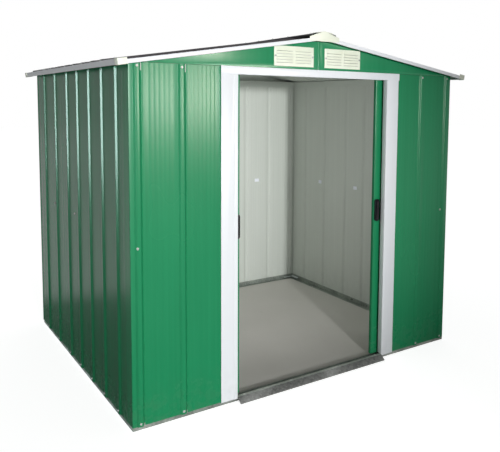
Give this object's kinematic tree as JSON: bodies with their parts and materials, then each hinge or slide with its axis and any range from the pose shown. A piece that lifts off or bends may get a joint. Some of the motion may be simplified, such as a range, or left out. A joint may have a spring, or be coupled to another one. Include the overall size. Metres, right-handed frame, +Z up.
{
  "type": "metal storage shed",
  "caption": "Small ribbed sheet-metal garden shed with a low apex roof, louvred gable vents and a pair of sliding doors over a ramped sill.",
  "frame": {"origin": "on the ground, under the middle of the shed's footprint", "axes": "+Z up, +X to the right along the front wall, +Y from the front wall with the doors towards the back wall"},
  "size_m": [2.1138, 1.756, 1.8103],
  "materials": {
    "green_sheet": "semi-gloss paint on galvanised sheet",
    "white_trim": "semi-gloss white paint",
    "cream_moulding": "moulded, slightly glossy",
    "slate_sheet": "semi-gloss dark grey paint",
    "zinc": "galvanised, mottled and dull",
    "floor": "flat grey painted board",
    "black_moulding": "moulded, satin"
  },
  "bodies": {
    "shell": {"base_rail_front": "zinc", "base_rail_back": "zinc", "base_rail_left": "zinc", "base_rail_right": "zinc", "floor_sheet": "floor", "door_ramp": "zinc", "corner_front_left": "green_sheet", "corner_front_right": "green_sheet", "corner_back_left": "green_sheet", "corner_back_right": "green_sheet", "wall_front_left": "green_sheet", "wall_front_right": "green_sheet", "wall_back_left": "green_sheet", "wall_back_right": "green_sheet", "wall_left_front": "green_sheet", "wall_left_rear": "green_sheet", "wall_right_front": "green_sheet", "wall_right_rear": "green_sheet", "jamb_left": "white_trim", "jamb_right": "white_trim", "lintel": "white_trim", "top_rail_front": "zinc", "top_rail_back": "zinc", "top_rails_side": "zinc", "ridge_beam": "zinc", "gable_front_left": "green_sheet", "gable_front_right": "green_sheet", "gable_back": "green_sheet", "vent_left": "cream_moulding", "vent_right": "cream_moulding", "roof_left_front": "slate_sheet", "roof_left_rear": "slate_sheet", "roof_right_front": "slate_sheet", "roof_right_rear": "slate_sheet", "ridge_cap": "slate_sheet", "rake_trims_front": "white_trim", "rake_trims_back": "white_trim", "eave_trims": "white_trim", "apex_caps": "cream_moulding", "corner_caps": "cream_moulding"},
    "left_door": {"door_left": "green_sheet", "handle_left": "black_moulding", "glides_left": "black_moulding"},
    "right_door": {"door_right": "green_sheet", "handle_right": "black_moulding", "glides_right": "black_moulding"}
  },
  "joints": [
    {"name": "left_door_slide", "type": "slide", "parent": "shell", "child": "left_door", "axis": [1, 0, 0], "range_m": [0, 0.431]},
    {"name": "right_door_slide", "type": "slide", "parent": "shell", "child": "right_door", "axis": [-1, 0, 0], "range_m": [0, 0.431]}
  ]
}
